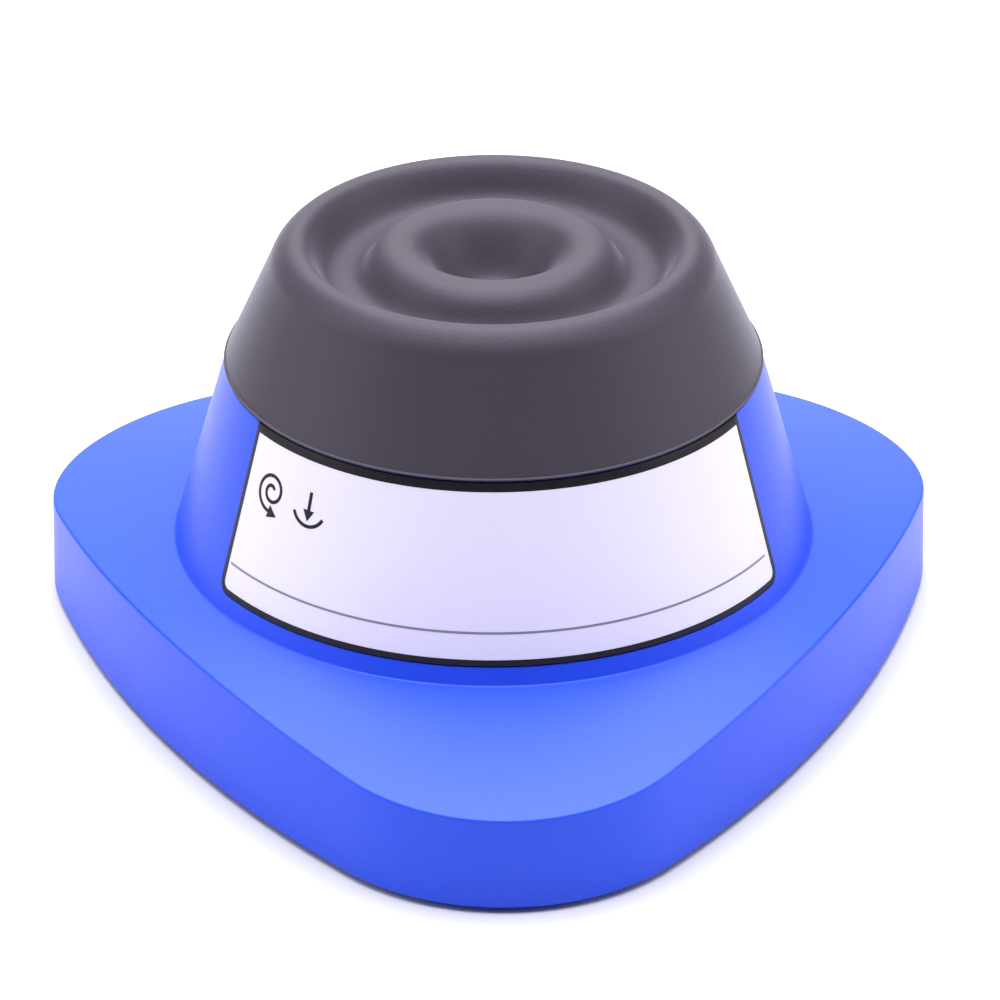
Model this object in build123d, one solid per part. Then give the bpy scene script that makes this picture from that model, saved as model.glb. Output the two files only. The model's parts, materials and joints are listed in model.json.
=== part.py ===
from build123d import *
import os
from math import cos, radians, sin, sqrt, tan

os.makedirs("parts", exist_ok=True)

# Vortex mixer, touch operated, in millimetres.  Everything below is built about the
# vertical axis of the housing, with the table at z = 0, the nose of the base toward
# -Y and the power inlet toward +Y.  save() moves each piece so that the origin ends
# up at the middle of the footprint.

# ---- driving dimensions: base and housing ------------------------------------------
corner_radius = 32.2          # corner circles of the rounded-triangle base
corner_offset = 44.3          # distance of the corner circles from the axis
side_radius = 191.0           # bulge of the three sides
corner_angles = (-90.0, 30.0, 150.0)
side_angles = (90.0, 210.0, 330.0)
wall_draft = 2.0              # degrees
foot_stand = 1.0              # gap between table and lower edge of the wall
junction_radius = 50.0        # where the conical body meets the base
junction_z = 21.8
base_top_slope = 0.2335       # fall of the base top per mm of radius
rim_radius = 41.33            # outer edge of the deck
rim_z = 51.1
wall = 2.4
deck_thickness = 2.5
deck_opening = 33.0
junction_fillet = 0.5

# ---- label -------------------------------------------------------------------------
label_half_angle = 59.5
label_bottom_z = 24.7
label_top_z = 51.05           # its recess opens into the deck's edge
label_thickness = 0.5
label_recess = 0.35
label_gap = 0.2
label_corner = 2.2

# ---- orbital drive -----------------------------------------------------------------
orbit = 2.0                   # offset of the crank journal from the motor axis
motor_y = orbit               # the motor stands this far behind the head axis
press_travel = 0.2            # the snap travel of a touch switch
motor_radius = 12.2
motor_top = 42.6
motor_bottom = 13.8
shaft_radius = 1.0
run_gap = 0.05                # radial clearance of running fits
plate_z = motor_top           # underside of the carriage plate
plate_thickness = 3.0
plate_radius = 32.0
post_radius = 2.5
post_circle = 27.0
pin_radius = 2.5
pin_circle = 21.0
chassis_z = 17.0
chassis_top = 20.0
journal_radius = 4.0
bearing_radius = 8.0
bearing_z = 52.4
bearing_width = 5.0

hub_z = 47.8
hub_flange_top = 51.6
bush_flange = 0.8
clip_z = plate_z + plate_thickness + bush_flange + run_gap
guide_inner = pin_radius + orbit + run_gap
guide_outer = guide_inner + 1.6

# ---- control board and touch switch ------------------------------------------------
board_z = 23.0
board_size = (30.0, 19.0, 1.6)
board_y = 27.5
board_posts = [(x, board_y + y) for x in (-11.5, 11.5) for y in (-6.5, 6.5)]
switch_turn = 60.0
switch_radius = 24.5
switch_angle = 330.0
switch_z = 33.0
switch_height = 7.0
plunger_radius = 1.2

# ---- rubber cap --------------------------------------------------------------------
cap_bottom_z = rim_z + press_travel + run_gap
cap_side_z = 51.7             # the straight side ends here, above a small bead
cap_side_radius = 41.2
cap_bead_radius = 41.5
shoulder_point = (34.5, 66.4)
cap_top_profile = (
    (33.7, 68.2), (32.45, 69.8), (31.3, 70.65), (30.2, 70.95), (29.05, 70.68),
    (28.0, 69.7), (26.8, 67.8), (25.4, 65.9), (23.8, 65.1), (22.3, 65.0),
    (20.7, 65.5), (19.2, 67.2), (18.2, 68.6), (17.2, 69.5), (15.9, 70.1),
    (14.4, 70.25), (12.9, 70.0), (11.6, 69.35), (10.4, 68.2), (9.1, 66.4),
    (7.8, 64.35), (6.6, 62.55), (5.4, 61.3), (4.0, 60.7), (2.0, 60.45),
)
bowl_bottom_z = 60.4
cap_under_hub = 58.8          # underside of the rubber below the bowl
cap_under_ring = 62.0         # underside of the rubber elsewhere
cap_skirt_inner = 37.9
cap_snap_radius = 36.0
head_plate_z = 53.4
head_plate_thickness = 2.5

# ---- underside ---------------------------------------------------------------------
cover_z = 1.4
cover_thickness = 2.5
cover_gap = 0.25
cover_top = cover_z + cover_thickness
foot_circle = 62.0
foot_radius = 10.0
cover_screw_circle = 47.0
chassis_screw_circle = 43.0
ballast_outer = 42.0
ballast_inner = 17.0
ballast_height = 8.0

# ---- power inlet -------------------------------------------------------------------
inlet_z = 10.0
inlet_flange_radius = 5.5
inlet_flange = 1.2
inlet_barrel_radius = 4.0
inlet_bore = 3.1
inlet_seat = 0.2              # the drafted wall leaves this much under the flange


def polar(radius, angle):
    """Point at a radius and an angle in degrees about the housing axis."""
    return radius * cos(radians(angle)), radius * sin(radians(angle))


switch_at = polar(switch_radius, switch_angle)


def peg(radius, z_low, z_high, at=(0.0, 0.0)):
    """Upright cylinder between two heights."""
    body = Cylinder(radius, z_high - z_low, align=(Align.CENTER, Align.CENTER, Align.MIN))
    return Pos(at[0], at[1], z_low) * body


def ring(outer, inner, z_low, z_high, at=(0.0, 0.0)):
    """Upright tube between two heights."""
    return peg(outer, z_low, z_high, at) - peg(inner, z_low - 1, z_high + 1, at)


def lathe(points, arc=360.0):
    """Solid turned about the housing axis from a closed (radius, z) outline."""
    outline = Polyline(*[(r, 0, z) for r, z in points], close=True)
    return revolve(make_face(outline), Axis.Z, arc)


def group(shapes):
    """Several separate solids kept together as one piece."""
    solids = [solid for shape in shapes for solid in shape.solids()]
    return Compound(solids)


def rounded_triangle(grow):
    """Footprint of the base, grown or shrunk by a constant distance."""
    reach = side_radius - corner_radius
    half_chord = corner_offset * sin(radians(60))
    back = sqrt(reach ** 2 - half_chord ** 2) - corner_offset / 2
    corner = corner_radius + grow
    side = side_radius + grow
    edges = []
    for angle in corner_angles:
        cx, cy = polar(corner_offset, angle)
        ends = []
        for turn in (-60, 60):
            sx, sy = polar(-back, angle + turn)
            ends.append((cx + corner * (cx - sx) / reach, cy + corner * (cy - sy) / reach))
        tip = polar(corner_offset + corner, angle)
        edges.append(ThreePointArc(ends[0], tip, ends[1]))
        sx, sy = polar(-back, angle + 60)
        mx, my = polar(side, angle + 60)
        nx, ny = polar(corner_offset, angle + 120)
        far = (nx + corner * (nx - sx) / reach, ny + corner * (ny - sy) / reach)
        edges.append(ThreePointArc(ends[1], (sx + mx, sy + my), far))
    return make_face(edges)


def base_block(inset, z_low):
    """Base and conical body as one solid, shrunk inward by a wall thickness."""
    height = junction_z - foot_stand
    foot_grow = height * tan(radians(wall_draft))
    prism = extrude(rounded_triangle(foot_grow - inset), height, taper=wall_draft)
    prism = Pos(0, 0, foot_stand) * prism
    far = 90.0
    drop = (far - junction_radius) * base_top_slope
    lower = inset * 1.03
    junction = junction_radius - inset
    rim = rim_radius - inset
    top = rim_z - (deck_thickness if inset else 0.0)
    roof = lathe([
        (0, z_low), (far, z_low), (far, junction_z - drop - lower),
        (junction_radius, junction_z - lower), (0, junction_z - lower),
    ])
    cone = lathe([
        (0, z_low), (junction, z_low), (junction, junction_z - lower),
        (rim, top), (0, top),
    ])
    return prism & roof, cone


def make_housing():
    """Blue moulded shell: drafted base wall, sloping top, cone and open deck."""
    base, cone = base_block(0.0, foot_stand)
    skin = junction_fillet
    cove = lathe([
        (junction_radius - 2, junction_z),
        (junction_radius + skin, junction_z - skin * base_top_slope),
        (junction_radius + 0.3 * skin, junction_z + 0.1 * skin),
        (junction_radius - 0.24 * skin, junction_z + 0.625 * skin),
        (junction_radius - 2, junction_z + skin),
    ])
    outer = base + cone + cove
    hollow_base, hollow_cone = base_block(wall, foot_stand - 1)
    shell = outer - hollow_base - hollow_cone - peg(deck_opening, rim_z - 10, rim_z + 1)
    for angle in corner_angles:
        at = polar(cover_screw_circle, angle)
        shell += peg(4.2, cover_top, junction_z - 1.5, at) & outer
        shell -= peg(1.52, cover_top - 1, cover_top + 12, at)
    for angle in side_angles:
        at = polar(chassis_screw_circle, angle)
        shell += peg(3.6, chassis_top, 36.0, at) & outer
        shell -= peg(1.52, chassis_top - 1, chassis_top + 9, at)
    inlet_hole = Cylinder(inlet_barrel_radius + 0.1, 20, rotation=(90, 0, 0))
    shell -= Pos(0, 58, inlet_z) * inlet_hole
    return shell - label_block(label_recess + 1.0, 1.0, label_gap)


def label_block(thickness, proud, grow):
    """Sector of conical sheet on the front of the body, corners rounded below."""
    slope = (rim_radius - junction_radius) / (rim_z - junction_z)

    def surface(z):
        return junction_radius + slope * (z - junction_z)

    low, high = label_bottom_z - grow, label_top_z + grow
    profile = [
        (surface(low) - thickness + proud, low), (surface(low) + proud, low),
        (surface(high) + proud, high), (surface(high) - thickness + proud, high),
    ]
    half = label_half_angle + grow
    sheet = Rot(0, 0, -90 - half) * lathe(profile, 2 * half)
    size = label_corner + grow
    for side in (-1, 1):
        chip = Pos(-side * (size - 0.3) / 2, 0, (size - 0.3) / 2) * Box(size + 0.3, 14, size + 0.3)
        chip -= Pos(-side * size, 0, size) * Cylinder(size, 16, rotation=(90, 0, 0))
        sheet -= Rot(0, 0, side * half) * Pos(0, -surface(low), low) * chip
    return sheet


def make_cover():
    """Flat plate closing the underside, with seats for feet and screws."""
    plate = Pos(0, 0, cover_z) * extrude(rounded_triangle(0.7 - wall - cover_gap), cover_thickness)
    for angle in corner_angles:
        foot_at = polar(foot_circle, angle)
        plate -= peg(foot_radius + 0.2, cover_z - 1, cover_z + 1.0, foot_at)
        plate -= peg(4.0, cover_z - 1, cover_top + 1, foot_at)
        screw_at = polar(cover_screw_circle, angle)
        plate -= peg(3.1, cover_z - 1, cover_z + 1.7, screw_at)
        plate -= peg(1.7, cover_z - 1, cover_top + 1, screw_at)
    for slot in (-2, -1, 0, 1, 2):
        plate -= Pos(slot * 5.0, 0, cover_z) * Box(1.6, 18, 10)
    return plate


def make_foot(angle):
    """Rubber suction foot with a mushroom head that snaps through the cover."""
    at = polar(foot_circle, angle)
    foot = peg(foot_radius, 0, cover_z + 1.0, at)
    foot = fillet(foot.edges().sort_by(Axis.Z)[0], 0.5)
    foot += peg(3.95, cover_z + 0.5, cover_top + 0.2, at)
    foot += Pos(at[0], at[1], cover_top) * Cone(
        5.4, 3.6, 2.2, align=(Align.CENTER, Align.CENTER, Align.MIN))
    bowl_radius = 30.0
    return foot - Pos(at[0], at[1], 1.1 - bowl_radius) * Sphere(bowl_radius)


def pan_screw(at, head_low, head_high, tip, head=2.8, shank=1.5):
    """Pan-head screw standing head down, with a cross recess."""
    screw = peg(head, head_low, head_high, at) + peg(shank, head_high, tip, at)
    for size in ((2.6, 0.6), (0.6, 2.6)):
        screw -= Pos(at[0], at[1], head_low) * Box(size[0], size[1], 1.4)
    return screw


def make_ballast():
    """Steel ring that keeps the mixer from walking, cut straight at the rear."""
    plate = ring(ballast_outer, ballast_inner, cover_top, cover_top + ballast_height)
    plate -= Pos(0, 50, cover_top) * Box(100, 26, 40)
    return chamfer(plate.edges().group_by(Axis.Z)[-1], 0.6)


def make_chassis():
    """Inner frame: ring, three screw ears, post sockets and the switch column."""
    frame = ring(38.0, 16.5, chassis_z, chassis_top)
    for angle in side_angles:
        at = polar(chassis_screw_circle, angle)
        arm = Rot(0, 0, angle) * Pos(38, 0, chassis_z) * Box(
            12, 8, chassis_top - chassis_z, align=(Align.CENTER, Align.CENTER, Align.MIN))
        frame += arm + peg(4.0, chassis_z, chassis_top, at)
    for angle in side_angles:
        frame -= peg(1.7, chassis_z - 1, chassis_top + 1, polar(chassis_screw_circle, angle))
    for angle in corner_angles:
        at = polar(post_circle, angle)
        frame += peg(5.2, chassis_z - 3, chassis_z + 0.5, at)
        frame -= peg(post_radius, chassis_z - 4, chassis_top + 1, at)
    for at in board_posts:
        frame += peg(2.4, chassis_top - 0.5, board_z, at)
        frame -= peg(1.02, board_z - 5, board_z + 1, at)
    column = Box(13.0, 7.0, switch_z - chassis_top,
                 align=(Align.CENTER, Align.CENTER, Align.MIN))
    frame += Pos(switch_at[0], switch_at[1], chassis_top) * Rot(0, 0, switch_turn) * column
    return frame


def make_post(angle):
    """Steel guide post with a groove for its retaining clip."""
    at = polar(post_circle, angle)
    post = peg(post_radius, chassis_z - 3, 49.0, at)
    post = chamfer(post.edges().sort_by(Axis.Z)[-1], 0.5)
    return post - ring(post_radius + 1, 2.1, clip_z, clip_z + 0.8, at)


def make_clip(angle):
    """Open retaining ring in the groove of a guide post."""
    at = polar(post_circle, angle)
    clip = ring(4.8, 2.1, clip_z, clip_z + 0.8, at)
    x, y = polar(post_circle - 4, angle)
    return clip - Pos(x, y, clip_z) * Rot(0, 0, angle) * Box(6, 2.6, 3)


def make_spring(angle):
    """Compression spring round a guide post."""
    wire = 0.45
    coil = 4.1
    low, high = chassis_top + wire + 0.02, plate_z - wire - 0.02
    path = Helix(pitch=3.1, height=high - low, radius=coil)
    section = Plane(origin=path @ 0, z_dir=path % 0) * Circle(wire)
    x, y = polar(post_circle, angle)
    return Pos(x, y, low) * sweep(section, path)


def make_carriage():
    """Round aluminium plate that carries the motor and slides on the posts."""
    plate = peg(plate_radius, plate_z, plate_z + plate_thickness)
    plate = chamfer(plate.edges(), 0.4)
    plate -= peg(4.1, plate_z - 1, plate_z + 5, (0, motor_y))
    for x in (-8, 8):
        plate -= peg(1.4, plate_z - 1, plate_z + 5, (x, motor_y))
    for angle in corner_angles:
        plate -= peg(4.0, plate_z - 1, plate_z + 5, polar(post_circle, angle))
    for angle in side_angles:
        x, y = polar(pin_circle, angle)
        plate -= peg(guide_outer, plate_z - 1, plate_z + 5, (x, y + motor_y))
    return plate


def make_guide_ring(angle):
    """Nylon ring in which an anti-rotation pin circles."""
    x, y = polar(pin_circle, angle)
    at = (x, y + motor_y)
    body = peg(guide_outer, plate_z, plate_z + plate_thickness, at)
    body += peg(guide_outer + 0.9, plate_z + plate_thickness, plate_z + plate_thickness + 0.8, at)
    return body - peg(guide_inner, plate_z - 1, plate_z + 6, at)


def make_bush(angle):
    """Flanged bronze bush that slides on a guide post."""
    at = polar(post_circle, angle)
    top = plate_z + plate_thickness
    body = peg(4.0, plate_z, top, at) + peg(5.4, top, top + bush_flange, at)
    return body - peg(post_radius + run_gap, plate_z - 1, top + 2, at)


def make_motor_can():
    """Drawn steel motor housing, open below, with its locating boss on top."""
    at = (0, motor_y)
    can = peg(motor_radius, motor_bottom, motor_top, at)
    can = fillet(can.edges().sort_by(Axis.Z)[-1], 1.0)
    can += peg(4.0, motor_top, motor_top + 1.4, at)
    can -= peg(motor_radius - 1.0, motor_bottom - 1, motor_top - 1.2, at)
    can -= peg(shaft_radius + run_gap, motor_top - 5, motor_top + 5, at)
    for x in (-8, 8):
        can -= peg(1.3, motor_top - 3, motor_top + 1, (x, motor_y))
    return can


def make_end_bell():
    """Black nylon end cap with the tail bearing boss."""
    at = (0, motor_y)
    bell = peg(motor_radius - 0.1, motor_bottom - 2.0, motor_bottom, at)
    bell += ring(motor_radius - 1.05, motor_radius - 2.6, motor_bottom - 0.5, motor_bottom + 1.2, at)
    bell += peg(3.2, motor_bottom - 3.4, motor_bottom, at)
    bell -= peg(shaft_radius + run_gap, motor_bottom - 2.6, motor_bottom + 3, at)
    for x in (-7, 7):
        bell -= Pos(x, motor_y, motor_bottom - 1) * Box(0.6, 2.4, 6)
    return bell


def make_terminals():
    """Two tinned solder tabs."""
    return group([
        Pos(x, motor_y, motor_bottom - 2) * (
            Box(0.5, 2.2, 5.6) - Rot(0, 90, 0) * Pos(1.7, 0, 0) * Cylinder(0.6, 4))
        for x in (-7, 7)])


def make_magnets():
    """Two arc magnets inside the motor housing."""
    at = (0, motor_y)
    pair = ring(motor_radius - 1.02, 8.9, 18.0, 38.0, at)
    return pair - Pos(0, motor_y, 28) * Box(40, 7, 30)


def make_armature():
    """Laminated three-pole armature with windings, on the motor shaft."""
    at = (0, motor_y)
    core = ring(8.3, shaft_radius, 19.5, 36.5, at)
    for angle in (30, 150, 270):
        x, y = polar(7.6, angle)
        core -= Pos(x, y + motor_y, 28) * Rot(0, 0, angle) * Box(4.0, 1.6, 30)
    return core + ring(3.0, shaft_radius, 15.2, 19.5, at)


def make_shaft():
    """Motor shaft."""
    return chamfer(peg(shaft_radius, 11.4, 53.4, (0, motor_y)).edges(), 0.2)


def make_hub():
    """Eccentric hub: collar and counterweight on the shaft, journal on the head axis."""
    at = (0, motor_y)
    weight = peg(13.0, hub_z, hub_flange_top, at)
    weight &= Pos(0, motor_y + 7.4, hub_z + 2) * Box(40, 13, 10)
    hub = peg(6.4, hub_z, hub_flange_top, at) + weight
    hub += peg(5.0, hub_flange_top - 1, bearing_z)
    hub += peg(journal_radius, bearing_z - 1, bearing_z + bearing_width + 0.1)
    hub -= peg(shaft_radius, hub_z - 1, 53.4, at)
    return hub - Pos(4.1, motor_y, hub_z + 1.9) * Rot(0, 90, 0) * Cylinder(1.27, 7.8)


def make_grub_screw():
    """Socket set screw clamping the hub to the shaft."""
    body = Rot(0, 90, 0) * Cylinder(1.25, 4.6)
    body -= Pos(2.3, 0, 0) * Rot(0, 90, 0) * extrude(RegularPolygon(0.65, 6), 1.6, both=True)
    return Pos(1.02 + 2.3, motor_y, hub_z + 1.9) * body


def make_balls():
    """Ball set of the head bearing."""
    height = bearing_z + bearing_width / 2
    spots = [polar(6.0, 45 * step) for step in range(8)]
    return group([Pos(x, y, height) * Sphere(0.67) for x, y in spots])


def make_head_plate():
    """Glass-filled nylon plate under the cap, with the bearing socket."""
    top = head_plate_z + head_plate_thickness
    skirt_fall = (cap_side_radius - shoulder_point[0]) / (shoulder_point[1] - cap_side_z)
    outer_low = cap_skirt_inner - skirt_fall * (head_plate_z - cap_side_z) - 0.05
    outer_high = cap_skirt_inner - skirt_fall * (top - cap_side_z) - 0.05
    plate = lathe([(0, head_plate_z), (outer_low, head_plate_z), (outer_high, top), (0, top)])
    plate += peg(11.0, bearing_z - 0.3, cap_under_hub)
    plate += ring(31.0, 28.6, top - 0.5, cap_under_ring)
    for angle in range(0, 360, 60):
        rib = Rot(0, 0, angle + 30) * Pos(20, 0, top - 0.5) * Box(
            18, 1.8, 2.9, align=(Align.CENTER, Align.CENTER, Align.MIN))
        plate += rib
    plate -= peg(bearing_radius, bearing_z - 2, bearing_z + bearing_width)
    plate -= peg(6.6, bearing_z, bearing_z + bearing_width + 0.5)
    for angle in side_angles:
        plate -= peg(pin_radius, head_plate_z - 1, top + 1, polar(pin_circle, angle))
    return plate


def make_head_pin(angle):
    """Steel pin that keeps the head from turning."""
    at = polar(pin_circle, angle)
    pin = peg(pin_radius, plate_z + 0.6, head_plate_z + head_plate_thickness, at)
    return fillet(pin.edges().sort_by(Axis.Z)[0], 0.8)


def make_cap():
    """Moulded rubber cap: skirt, broad lip, groove, raised ring and cup."""
    skirt = Polyline((0, 0, cap_under_hub), (11.3, 0, cap_under_hub),
                     (11.3, 0, cap_under_ring), (skirt_radius(cap_under_ring), 0, cap_under_ring),
                     (skirt_radius(head_plate_z), 0, head_plate_z),
                     (cap_snap_radius, 0, head_plate_z), (cap_snap_radius, 0, cap_bottom_z + 0.6),
                     (cap_snap_radius + 0.6, 0, cap_bottom_z), (cap_bead_radius, 0, cap_bottom_z),
                     (cap_bead_radius, 0, cap_side_z - 0.1), (cap_side_radius, 0, cap_side_z),
                     (shoulder_point[0], 0, shoulder_point[1]))
    slope = (shoulder_point[0] - cap_side_radius, shoulder_point[1] - cap_side_z)
    crown = Spline([(shoulder_point[0], 0, shoulder_point[1])]
                   + [(r, 0, z) for r, z in cap_top_profile] + [(0, 0, bowl_bottom_z)],
                   tangents=[(slope[0], 0, slope[1]), (-1, 0, 0)])
    axis_line = Line((0, 0, bowl_bottom_z), (0, 0, cap_under_hub))
    return revolve(make_face([skirt, crown, axis_line]), Axis.Z)


def skirt_radius(z):
    """Inner radius of the cap's skirt at a height."""
    fall = (cap_side_radius - shoulder_point[0]) / (shoulder_point[1] - cap_side_z)
    return cap_skirt_inner - fall * (z - cap_side_z)


def make_board():
    """Speed control circuit board."""
    board = Pos(0, board_y, board_z) * Box(
        *board_size, align=(Align.CENTER, Align.CENTER, Align.MIN))
    for at in board_posts:
        board -= peg(1.2, board_z - 1, board_z + 3, at)
    return board


def make_board_parts():
    """Capacitor, power transistor, terminal block and chips on the board."""
    top = board_z + board_size[2]
    block = Pos(-5.2, board_y + 2.5, top) * Box(
        7.0, 6.2, 7.0, align=(Align.CENTER, Align.CENTER, Align.MIN))
    can = fillet(peg(3.2, top, top + 11.5, (4.0, board_y + 3.4)).edges().sort_by(Axis.Z)[-1], 0.5)
    chip = Pos(0.5, board_y - 4.6, top) * Box(
        6.0, 4.0, 1.6, align=(Align.CENTER, Align.CENTER, Align.MIN))
    tab = Pos(-6.2, board_y - 5.0, top) * Box(
        5.4, 3.0, 8.4, align=(Align.CENTER, Align.CENTER, Align.MIN))
    return group([block, can, chip, tab])


def make_switch():
    """Snap switch closed when the head is pressed."""
    body = Box(12.6, 6.0, switch_height, align=(Align.CENTER, Align.CENTER, Align.MIN))
    for x in (-3.2, 3.2):
        body -= Pos(x, 0, 2.2) * Rot(90, 0, 0) * Cylinder(1.0, 20)
    body -= Cylinder(plunger_radius + run_gap, 8.0,
                     align=(Align.CENTER, Align.CENTER, Align.MIN)).moved(Location((0, 0, 3.0)))
    return Pos(switch_at[0], switch_at[1], switch_z) * Rot(0, 0, switch_turn) * body


def make_plunger():
    """Push button of the snap switch."""
    button = peg(plunger_radius, switch_z + 4.0, switch_z + switch_height + 1.0, switch_at)
    return fillet(button.edges().sort_by(Axis.Z)[-1], 0.4)


def make_striker():
    """Adjusting screw in the carriage plate that works the snap switch."""
    low = switch_z + switch_height + 1.0 + 0.02
    return peg(2.2, low, plate_z, switch_at)


def inlet_y():
    """Outer face of the rear wall at the height of the power inlet."""
    reach = side_radius - corner_radius
    back = sqrt(reach ** 2 - (corner_offset * sin(radians(60))) ** 2) - corner_offset / 2
    grow = (junction_z - inlet_z) * tan(radians(wall_draft))
    return side_radius - back + grow


def along_y(radius, y_low, y_high):
    """Cylinder lying along Y on the axis of the power inlet."""
    body = Cylinder(radius, y_high - y_low, rotation=(90, 0, 0))
    return Pos(0, (y_low + y_high) / 2, inlet_z) * body


def make_inlet():
    """Panel power inlet: flange, threaded barrel, socket and centre contact."""
    face = inlet_y() + inlet_seat
    end = face + inlet_flange
    body = along_y(inlet_flange_radius, face, end)
    body = fillet(body.edges().sort_by(Axis.Y)[-1], 0.4)
    body += along_y(inlet_barrel_radius, face - 11, face + 0.1)
    body += along_y(4.4, face - 14, face - 11)
    body -= along_y(inlet_bore, end - 9.5, end + 1)
    body += fillet(along_y(1.0, end - 10, end - 0.8).edges().sort_by(Axis.Y)[-1], 0.5)
    for x in (-2.2, 2.2):
        body += Pos(x, face - 16, inlet_z) * Box(0.5, 4.4, 2.0)
    return body


def make_inlet_nut():
    """Hexagon nut holding the inlet from inside."""
    face = inlet_y() - wall - 0.25
    nut = extrude(Plane.XZ * RegularPolygon(5.8, 6), 2.2)
    nut = Pos(0, face, inlet_z) * nut
    return nut - along_y(inlet_barrel_radius + 0.01, face - 10, face + 10)


front_reach = corner_offset + corner_radius + (junction_z - foot_stand) * tan(radians(wall_draft))
rear_reach = inlet_y() + inlet_seat + inlet_flange
axis_shift = (front_reach - rear_reach) / 2


def save(name, shape):
    """Write one piece, moved so that the footprint is centred on the origin."""
    placed = Pos(0, axis_shift, 0) * shape
    placed.label = name
    export_step(placed, f"parts/{name}.step")


top_z = plate_z + plate_thickness
PIECES = {
    "housing_shell": make_housing(),
    "bottom_cover": make_cover(),
    "label_plate": label_block(label_thickness, label_thickness - label_recess, 0.0),
    "ballast_ring": make_ballast(),
    "cover_screws": group([
        pan_screw(polar(cover_screw_circle, a), cover_z + 0.3, cover_z + 1.7, cover_top + 9)
        for a in corner_angles]),
    "chassis_frame": make_chassis(),
    "chassis_screws": group([
        pan_screw(polar(chassis_screw_circle, a), chassis_z - 1.6, chassis_z, chassis_top + 8)
        for a in side_angles]),
    "guide_posts": group([make_post(a) for a in corner_angles]),
    "post_clips": group([make_clip(a) for a in corner_angles]),
    "power_inlet": make_inlet(),
    "inlet_nut": make_inlet_nut(),
    "control_board": make_board(),
    "board_components": make_board_parts(),
    "board_screws": group([
        Rot(180, 0, 0) * pan_screw(
            (at[0], -at[1]), -board_z - board_size[2] - 1.2, -board_z - board_size[2],
            -board_z + 2.5, 1.9, 1.0)
        for at in board_posts]),
    "touch_switch": make_switch(),
    "switch_plunger": make_plunger(),
    "carriage_plate": make_carriage(),
    "guide_bushes": group([make_bush(a) for a in corner_angles]),
    "pin_guides": group([make_guide_ring(a) for a in side_angles]),
    "switch_striker": make_striker(),
    "motor_can": make_motor_can(),
    "motor_end_bell": make_end_bell(),
    "motor_terminals": make_terminals(),
    "motor_magnets": make_magnets(),
    "motor_screws": group([
        Rot(180, 0, 0) * pan_screw((x, -motor_y), -top_z - 1.2, -top_z, -motor_top + 2.0, 2.1, 1.25)
        for x in (-8, 8)]),
    "motor_shaft": make_shaft(),
    "motor_armature": make_armature(),
    "eccentric_hub": make_hub(),
    "hub_grub_screw": make_grub_screw(),
    "bearing_inner_race": ring(5.3, journal_radius, bearing_z, bearing_z + bearing_width),
    "bearing_balls": make_balls(),
    "bearing_outer_race": ring(bearing_radius, 6.7, bearing_z, bearing_z + bearing_width),
    "head_plate": make_head_plate(),
    "head_pins": group([make_head_pin(a) for a in side_angles]),
    "rubber_cap": make_cap(),
}
for number, angle in enumerate(corner_angles, start=1):
    PIECES[f"foot_{number}"] = make_foot(angle)
    PIECES[f"return_spring_{number}"] = make_spring(angle)

for piece_name, piece in PIECES.items():
    save(piece_name, piece)
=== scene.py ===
"""A touch-operated vortex mixer: its visible pieces, finishes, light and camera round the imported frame."""

import json
import logging
import math
from dataclasses import dataclass
from enum import Enum
from typing import Optional, Sequence

import bmesh
import bpy
import numpy as np
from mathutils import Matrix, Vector


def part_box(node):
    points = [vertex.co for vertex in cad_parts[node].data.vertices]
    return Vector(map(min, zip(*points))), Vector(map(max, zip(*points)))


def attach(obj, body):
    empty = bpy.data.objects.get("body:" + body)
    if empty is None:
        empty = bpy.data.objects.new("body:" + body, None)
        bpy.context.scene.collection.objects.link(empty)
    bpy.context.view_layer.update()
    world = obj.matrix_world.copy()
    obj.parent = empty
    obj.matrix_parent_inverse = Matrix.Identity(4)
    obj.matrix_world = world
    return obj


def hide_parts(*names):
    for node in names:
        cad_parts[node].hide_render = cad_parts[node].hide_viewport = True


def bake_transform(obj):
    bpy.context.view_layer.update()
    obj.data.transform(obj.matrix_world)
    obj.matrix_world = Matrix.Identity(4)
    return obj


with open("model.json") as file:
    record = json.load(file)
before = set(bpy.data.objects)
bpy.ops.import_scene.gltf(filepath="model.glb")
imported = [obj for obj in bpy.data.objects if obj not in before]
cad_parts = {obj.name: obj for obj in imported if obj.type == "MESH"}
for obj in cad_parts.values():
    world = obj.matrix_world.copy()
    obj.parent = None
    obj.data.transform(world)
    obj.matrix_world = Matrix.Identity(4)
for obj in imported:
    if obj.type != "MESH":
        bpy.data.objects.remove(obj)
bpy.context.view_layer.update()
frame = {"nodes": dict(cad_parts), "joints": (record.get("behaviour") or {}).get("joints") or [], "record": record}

MM = 0.001
FACING_EDGE = math.radians(32)
log = logging.getLogger("vortex_mixer")


# ---- the frame ------------------------------------------------------------------------------


def joint_place(name: str) -> np.ndarray:
    """Returns the point, in metres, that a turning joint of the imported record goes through."""
    joint = next(joint for joint in frame["joints"] if joint["name"] == name)
    return np.array(joint["pos_m"], float)


AXIS = np.append(joint_place("head_orbit")[:2], 0.0)


def polar(radius: np.ndarray, angle: np.ndarray, z: np.ndarray) -> np.ndarray:
    """Points from cylinder coordinates: x is radius times the cosine of the angle, y radius times its sine.

    Args:
        radius: Distance from the housing's axis, in millimetres.
        angle: Angle from +X toward +Y, in radians.
        z: Height above the table, in millimetres.

    Returns:
        An array of the arguments' common shape, with x, y, z as its last axis.
    """
    radius, angle, z = np.broadcast_arrays(radius, angle, z)
    return np.stack([radius * np.cos(angle), radius * np.sin(angle), z], axis=-1)


# ---- meshes from grids ----------------------------------------------------------------------


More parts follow.
